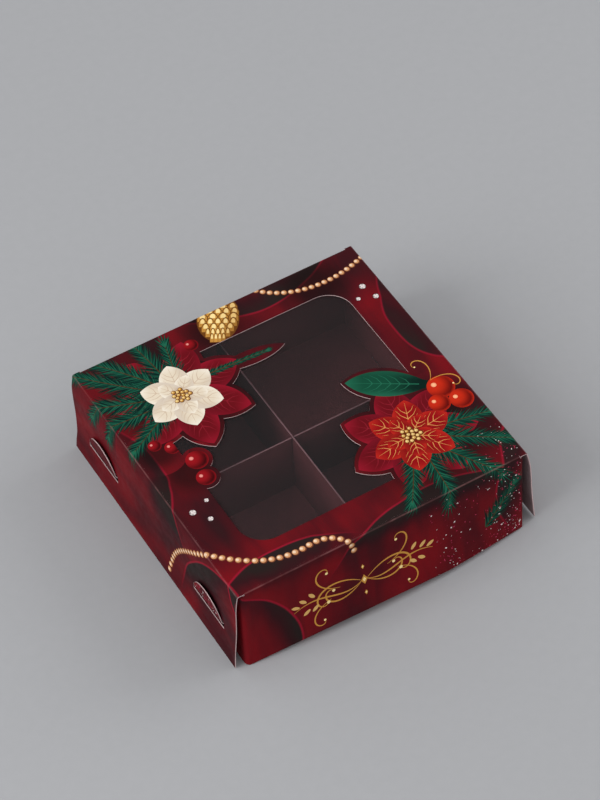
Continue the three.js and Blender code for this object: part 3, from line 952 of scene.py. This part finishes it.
def dark_board(name, palette, flat_axis, cut_above=0):
    """Board dyed dark, with paler cut edges: faces across a flat axis, or upward faces above a height."""
    pale, dark, cut = palette
    g = new_material(name)
    place = g.object_place()
    mottle = g.noise(place, 45)
    fibres = g.noise(g.vector("MULTIPLY", place, (1, 1, 4)), 900, 4.0, 1.0)
    both = g.math("ADD", g.product(mottle, 0.85), g.product(fibres, 0.15))
    colour = g.mix(g.ramp(both, 0.35, 0.65), dark, pale)
    normal = g.make("NewGeometry", {}).outputs["True Normal"]
    if flat_axis:
        edge = g.math("LESS_THAN", g.math("ABSOLUTE", g.vector("DOT_PRODUCT", normal, flat_axis)), 0.5)
    else:
        height = g.vector("DOT_PRODUCT", place, (0, 0, 1))
        upward = g.math("GREATER_THAN", g.vector("DOT_PRODUCT", normal, (0, 0, 1)), 0.5)
        edge = g.product(upward, g.math("GREATER_THAN", height, cut_above))
    colour = g.mix(g.product(edge, g.ramp(fibres, 0.3, 0.7, 0.7, 1.0)), colour, cut)
    roughness = g.ramp(mottle, 0.3, 0.7, 0.62, 0.78)
    return g.finish(colour, roughness, 0.15, Normal=g.bump(fibres, 0.00002, 0.08))


FILM_HAZE = 0.0095
FILM_GLOSS = 0.5  # share of gloss where the film is seen edge on
FILM_ROUGHNESS = 0.35


def clear_film(name):
    """Thin clear film: see-through, with a little haze and a faint wavy gloss."""
    g = new_material(name)
    g.nodes.remove(g.shader)
    through = g.make("BsdfTransparent", {"Color": (0.93, 0.93, 0.94, 1)})
    haze = g.make("BsdfDiffuse", {"Color": (0.86, 0.88, 0.9, 1)})
    wave = g.bump(g.noise(g.object_place(), 38, 1.0, 0.6), 0.0004, 0.3)
    gloss = g.make("BsdfGlossy", {"Roughness": FILM_ROUGHNESS, "Normal": wave})
    facing = g.make("LayerWeight", {}).outputs["Facing"]
    share = g.product(g.math("POWER", facing, 5.0), FILM_GLOSS)
    hazy = g.make("MixShader", {0: FILM_HAZE, 1: through.outputs[0], 2: haze.outputs[0]})
    both = g.make("MixShader", {0: share, 1: hazy.outputs[0], 2: gloss.outputs[0]})
    g.fill(g.nodes["Material Output"], {"Surface": both.outputs[0]})
    return g.owner


# Slots of a board's materials
PRINT, INNER, EDGE = 0, 1, 2
print_material = printed_card("printed_card", False)
crease_material = printed_card("printed_crease", True)
# Inside of the lid: uncoated mauve-grey board, its colour darkened with painted shade for the dim gap between
# the ears and the walls
shaded_inner_material = plain_board("uncoated_inside", srgb(158, 138, 140), srgb(138, 118, 121), 700)
edge_material = plain_board("raw_cut_edge", srgb(216, 191, 191), srgb(190, 162, 163), 1500)


# Boards of the lid
def hump(rise, fade, value):
    """Goes up from 0 to 1 in the first range and back to 0 in the second."""
    return smooth(*rise, value) * (1 - smooth(*fade, value))


def dent(along, down):
    """How far a side wall is pressed in above a slit and pushed out at the slit's lower lip."""
    push = 0
    for middle in (-TONGUE_Y, TONGUE_Y):
        across = 1 - smooth(0, TONGUE_LENGTH / 2 + 3, abs(along - middle))
        push += across * (DENT * hump(DENT_RISE, DENT_FADE, down) - LIP_PUSH * hump(LIP_RISE, LIP_FADE, down))
    return push


def curl(along, down):
    """How far the left wall stands out below its slits and at its front end."""
    below = CURL_BELOW * smooth(BELOW_SLITS, WALL_H, down)
    at_end = smooth(-TONGUE_Y - TONGUE_LENGTH / 2, -HALF, along) * smooth(CURL_FROM, WALL_H, down)
    return LEFT_CURL * max(below, at_end)


def place_top(u, v, depth):
    bow = TOP_BOW * (1 - (u / HALF) ** 2) * (1 - (v / HALF) ** 2)
    return Vector((u, v, BOX_H - depth + bow))


def place_side(side):
    """A crease, or a side wall with its slack."""
    def place(u, v, depth):
        along, q = (v, abs(u)) if side.out[0] else (u, abs(v))
        if q <= side.end or not side.out[0]:
            return side.place(along, q, depth)
        down = q - side.drop
        inward = dent(along, down) - BELLY * hump(BELLY_RISE, BELLY_FADE, down)
        if side.name == "left":
            inward -= curl(along, down)
        else:
            inward += RIGHT_TUCK * smooth(*TUCK_RISE, down)
        return side.place(along, q, depth + inward)
    return place


def place_end(side):
    """The front or back wall, with its ears turned round the corners."""
    def place(u, v, depth):
        past = abs(u) - FLAT_HALF
        down = max((abs(v) - side.end) / WALL_H, 0) ** BOW_DOWN if side.name == "front" else 0
        middle = max(1 - (u / FLAT_HALF) ** 2, 0) ** BOW_ALONG
        bow = down * (CORNER_BOW + (FRONT_BOW - CORNER_BOW) * middle)
        flat = side.place(copysign(min(abs(u), FLAT_HALF), u), abs(v), depth - bow)
        if past <= 0:
            return flat
        turn = min(past / BEND_R, pi / 2)
        x = FLAT_HALF + (BEND_R - depth) * sin(turn)
        y = HALF - BEND_R + (BEND_R - depth) * cos(turn) - max(past - BEND_ARC, 0)
        y += down * CORNER_BOW * (1 - smooth(0, EAR_SETTLE, past))
        return Vector((copysign(x, u), side.out[1] * y, flat.z))
    return place


def place_tongue(side, neighbour):
    """A tongue, curved out through the slit and up beside the side wall."""
    end = OUT[neighbour][0]
    out, rise = tongue_step(FLARE[neighbour])
    lean = tan(radians(FLARE[neighbour] + TONGUE_LEAN))
    jog = tan(radians(TONGUE_JOG))

    def reach(h):
        steep, upright = h * jog, out + (h - rise) * lean
        low = min(steep, upright)
        near = [exp((low - reached) / TONGUE_SOFT) for reached in (steep, upright)]
        return low - TONGUE_SOFT * log(sum(near))

    def place(u, v, depth):
        h = side.at(BOX_H - TONGUE_BASE_Z) - abs(v)
        step = 0.05
        slope = atan2(reach(h + step) - reach(h - step), 2 * step)
        x = EAR_X + reach(h) - depth * cos(slope)
        y = HALF - BEND_R - (abs(u) - FLAT_HALF - BEND_ARC)
        return Vector((end * x, side.out[1] * y, TONGUE_BASE_Z + h + depth * sin(slope)))
    return place


# Zones that bend sharply: their inner face takes the points of the printed one
FOLDED = {"front_wall", "back_wall", *tongues, *(f"{name}_crease" for name in SIDES)}


def spread_points(zone):
    """Points inside a zone's outline where its inner face may bend."""
    xs, ys = zip(*zones[zone])
    x0, x1, y0, y1 = min(xs) + 1, max(xs) - 1, min(ys) + 1, max(ys) - 1
    return [Vector(p) for p in grid_points if x0 < p[0] < x1 and y0 < p[1] < y1]


def board(name, zone, place, material):
    """A closed sheet of board for one zone: printed face, uncoated inner face and raw edges."""
    found = zone_triangles[zone]
    used, seen = {}, set()
    for triangle, _ in found:
        for i, j in zip(triangle, triangle[1:] + triangle[:1]):
            seen.add((i, j))
            used.setdefault(i, len(used))
    rim = [(i, j) for i, j in seen if (j, i) not in seen]
    rim_points = sorted({i for pair in rim for i in pair})
    number = {i: n for n, i in enumerate(rim_points)}
    inside = [sheet[i] for i in used if i not in number] if zone in FOLDED else spread_points(zone)
    loops = [(number[i], number[j]) for i, j in rim]
    back_points, _, back_faces, back_source, _, _ = delaunay_2d_cdt(
        [sheet[i] for i in rim_points] + inside, loops, [], 1, INNER_MERGE, True)
    back_zone, _ = read_sheet(back_points, back_faces)
    back_faces = [face for face, n in zip(back_faces, back_zone) if n == zone_names.index(zone)]
    back_used = {}
    for face in back_faces:
        for n in face:
            back_used.setdefault(n, len(used) + len(back_used))
    outer = [place(*sheet[i], 0) * MM for i in used]
    inner = [place(*back_points[n], LOOK_BOARD) * MM for n in back_used]
    twin = {}
    for n, origins in enumerate(back_source):
        for origin in origins:
            if origin < len(rim_points):
                twin[rim_points[origin]] = back_used[n]
    polygons = [[used[i] for i in triangle] for triangle, _ in found]
    slots = [PRINT] * len(polygons)
    for face in back_faces:
        polygons.append([back_used[n] for n in reversed(face)])
        slots.append(INNER)
    for i, j in rim:
        polygons.append([used[j], used[i], twin[i], twin[j]])
        slots.append(EDGE)
    mesh = bpy.data.meshes.new(name)
    mesh.from_pydata(outer + inner, [], polygons)
    mesh.polygons.foreach_set("material_index", slots)
    flat_place = [sheet[i] for i in used] + [back_points[n] for n in back_used]
    uv_values, ink_values = [], []
    for n, polygon in enumerate(polygons):
        top = found[n][1] if n < len(found) else -1
        for vertex in polygon:
            u, v = flat_place[vertex]
            uv_values += (u * SHEET_SCALE, v * SHEET_SCALE)
            ink_values += (*printed[top][1](u, v), 1)[:4] if top >= 0 else (0, 0, 0, 0)
    mesh.uv_layers.new(name="Sheet").data.foreach_set("uv", uv_values)
    mesh.color_attributes.new("Ink", "FLOAT_COLOR", "CORNER").data.foreach_set("color", ink_values)
    sharp = {frozenset((face[i], face[j])) for i, j in rim for face in (used, twin)}
    for edge in mesh.edges:
        edge.use_edge_sharp = frozenset(edge.vertices) in sharp
    mesh.polygons.foreach_set("use_smooth", [slot != EDGE for slot in slots])
    for m in (material, shaded_inner_material, edge_material):
        mesh.materials.append(m)
    mesh.validate()
    piece = new_object(name, mesh)
    return piece


top_board = board("lid_top_board", "lid_top", place_top, print_material)
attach(top_board, "lid")
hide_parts("lid_top_panel")
for side in SIDES.values():
    name = side.name
    place = place_side(side) if side.out[0] else place_end(side)
    wall = board(f"lid_{name}_board", f"{name}_wall", place, print_material)
    if side.out[0]:
        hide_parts(f"lid_{name}_wall")
    else:
        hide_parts(f"lid_{name}_wall", f"lid_{name}_left_ear", f"lid_{name}_right_ear")
        for neighbour in ("left", "right"):
            zone = f"{name}_{neighbour}_tongue"
            tongue = board(f"{zone}_board", zone, place_tongue(side, neighbour), print_material)
            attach(tongue, zone)
            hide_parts(f"lid_{zone}")
    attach(wall, f"lid_{name}")
    crease = board(f"lid_{name}_crease", f"{name}_crease", place_side(side), crease_material)
    side.place(0, side.start, 0) * MM
    side.place(0, side.end, 0) * MM
    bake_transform(crease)

# Tray, divider and film keep their solids
TRAY_TONES = tones((106, 54, 57), (95, 48, 51), (150, 122, 120))  # pale, dark and cut edge
STRIP_TONES = tones((106, 54, 58), (95, 49, 52), (128, 94, 97))
TRAY_RIM = 0.0341  # in metres; above it the tray's upward faces are cut edges
tray_card = dark_board("tray_card", TRAY_TONES, None, TRAY_RIM)
inner_materials = {
    "divider_cross_strip": dark_board("cross_strip_card", STRIP_TONES, (0, 1, 0)),
    "divider_long_strip": dark_board("long_strip_card", STRIP_TONES, (1, 0, 0)),
    "window_film": clear_film("clear_film"),
}
for name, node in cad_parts.items():
    material = tray_card if name.startswith("tray") else inner_materials.get(name)
    if material:
        node.data.materials.clear()
        node.data.materials.append(material)

# Floor
FLOOR_HALF = 6
floor_corners = [(x, y, 0) for x, y in rectangle(-FLOOR_HALF, -FLOOR_HALF, FLOOR_HALF, FLOOR_HALF)]
floor_mesh = bpy.data.meshes.new("floor")
floor_mesh.from_pydata(floor_corners, [], [[0, 1, 2, 3]])
floor = new_object("floor", floor_mesh)
paper = new_material("grey_paper")
paper_noise = paper.noise(paper.object_place(), 300)
paper_colour = paper.mix(paper_noise, srgb(166, 167, 170), srgb(170, 171, 174))
floor_mesh.materials.append(paper.finish(paper_colour, 0.9, 0.1))

# Light: a pale dome that is dark where the window reflects it, and a softbox on each side of the camera
AZIMUTH, ELEVATION, ROLL = radians(-28.76), radians(49.81), radians(-2.84)
DOME_STRENGTH = 0.72
DARK_STRENGTH = 0.1
DARK_FROM, DARK_FULL = 0.92, 0.98  # cosines of the angle from the middle of the dark part
SOFTBOX_SIZE = 0.7
back_axis = Vector((sin(AZIMUTH) * cos(ELEVATION), -cos(AZIMUTH) * cos(ELEVATION), sin(ELEVATION)))
sky = Graph(bpy.data.worlds.new("studio"))
direction = sky.make("TexCoord", {}).outputs["Generated"]
toward = sky.vector("DOT_PRODUCT", direction, (-back_axis.x, -back_axis.y, back_axis.z))
strength = sky.ramp(toward, DARK_FROM, DARK_FULL, DOME_STRENGTH, DARK_STRENGTH)
sky.fill(sky.nodes["Background"], {"Color": (1, 1, 1, 1), "Strength": strength})
bpy.context.scene.world = sky.owner


def softbox(name, place, power):
    """A square lamp that faces the box."""
    data = bpy.data.lights.new(name, "AREA")
    data.shape = "SQUARE"
    data.size = SOFTBOX_SIZE
    data.energy = power
    lamp = new_object(name, data)
    lamp.location = place
    lamp.rotation_euler = (-Vector(place)).to_track_quat("-Z", "Y").to_euler()


softbox("left_softbox", (-1.0, -0.05, 0.7), 7.5)
softbox("right_softbox", (0.95, -0.1, 0.65), 3.2)

# Camera, fitted to the corners of the box in the photograph
FOCAL_PIXELS = 3111.2
PICTURE_H = 800
SENSOR = 36
DISTANCE = 1.0329
TARGET = Vector((0.01803, 0.03017, 0))
camera_data = bpy.data.cameras.new("camera")
camera_data.sensor_width = SENSOR
camera_data.lens = SENSOR * FOCAL_PIXELS / PICTURE_H
camera = new_object("camera", camera_data)
right_axis = Vector((0, 0, 1)).cross(back_axis).normalized()
up_axis = back_axis.cross(right_axis)
rolled_right = right_axis * cos(ROLL) + up_axis * sin(ROLL)
rolled_up = up_axis * cos(ROLL) - right_axis * sin(ROLL)
pose = Matrix((rolled_right, rolled_up, back_axis)).transposed().to_4x4()
pose.translation = TARGET + back_axis * DISTANCE
camera.matrix_world = pose
bpy.context.scene.camera = camera
bpy.context.scene.view_settings.view_transform = "Standard"
